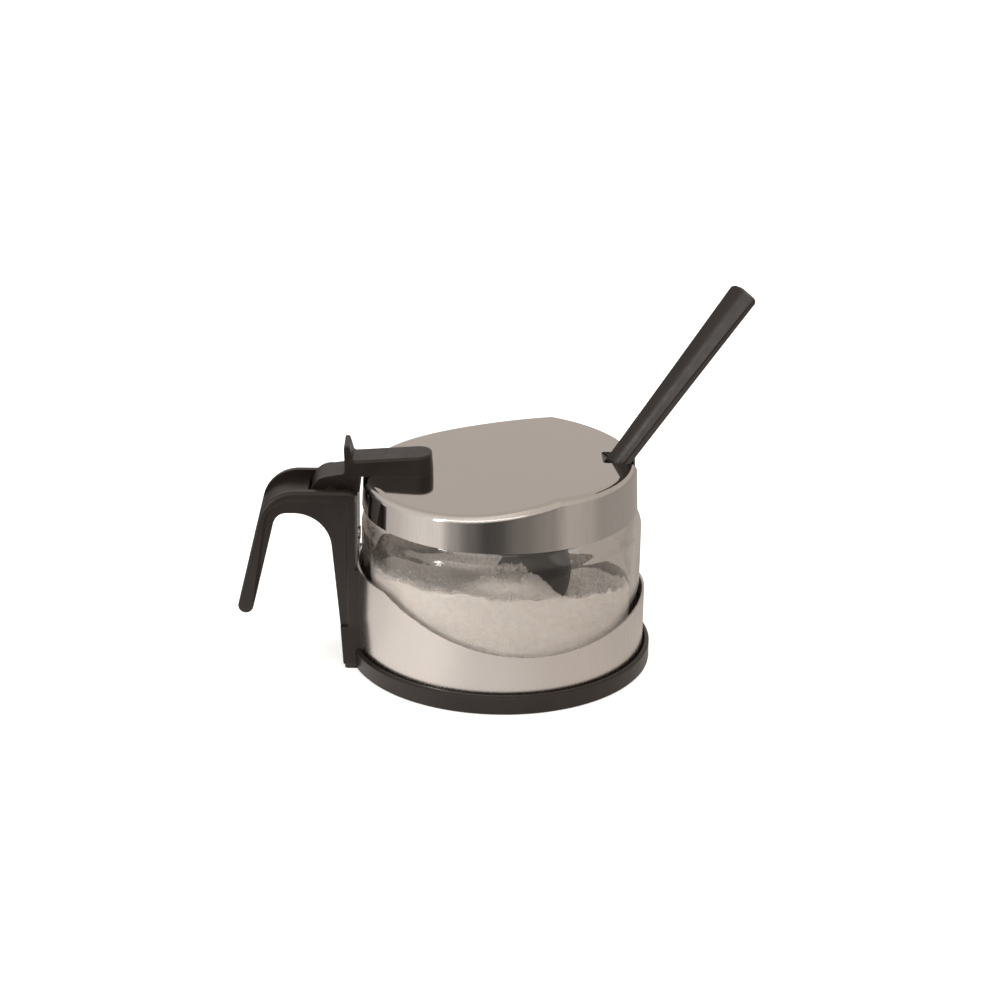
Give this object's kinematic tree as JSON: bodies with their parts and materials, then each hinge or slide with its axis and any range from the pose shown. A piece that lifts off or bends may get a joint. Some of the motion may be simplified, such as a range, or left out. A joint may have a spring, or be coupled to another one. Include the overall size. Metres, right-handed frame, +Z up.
{
  "type": "grated cheese bowl",
  "caption": "Glass bowl in a brushed steel sleeve on a black dish, with a hinged steel lid that a grip block lifts, a black handle, grated cheese and a spoon standing in the lid's slot.",
  "frame": {"origin": "centre of the dish's underside, on the bowl's axis", "axes": "+X from the handle to the spoon, the longest extent; -Y to the viewer; +Z up"},
  "size_m": [0.1855, 0.112, 0.1424],
  "materials": {
    "black_plastic_base": "black moulded plastic, satin",
    "brushed_steel_sleeve": "stainless steel, finely brushed",
    "black_plastic_handle": "black moulded plastic, satin with polished edges",
    "pin_steel": "ground steel",
    "screw_steel": "zinc plated steel",
    "clear_glass": "clear pressed glass",
    "cheese": "finely grated hard cheese, dry grains",
    "lid_steel": "stainless steel, mirror polished on top, brushed upright on the skirt",
    "black_plastic_lever": "black moulded plastic, satin",
    "black_plastic_spoon": "black moulded plastic, satin, sharp bright arris"
  },
  "bodies": {
    "holder": {"base_ring": "black_plastic_base", "steel_sleeve": "brushed_steel_sleeve", "handle": "black_plastic_handle", "hinge_pin": "pin_steel", "sleeve_screw_lower": "screw_steel", "sleeve_screw_upper": "screw_steel", "base_screw_front": "screw_steel", "base_screw_back": "screw_steel", "glass_bowl": "clear_glass", "grated_cheese": "cheese"},
    "lid": {"lid_cap": "lid_steel", "lid_lever": "black_plastic_lever", "lever_screw_outer": "screw_steel", "lever_screw_inner": "screw_steel"},
    "spoon": {"spoon": "black_plastic_spoon"}
  },
  "joints": [
    {"name": "lid_hinge", "type": "hinge", "parent": "holder", "child": "lid", "pos_m": [-0.0625, 0, 0.0644], "axis": [0, -1, 0], "range_deg": [0, 100]},
    {"name": "spoon_slide", "type": "slide", "parent": "holder", "child": "spoon", "axis": [0.5548, 0, 0.832], "range_m": [0, 0.012]}
  ]
}
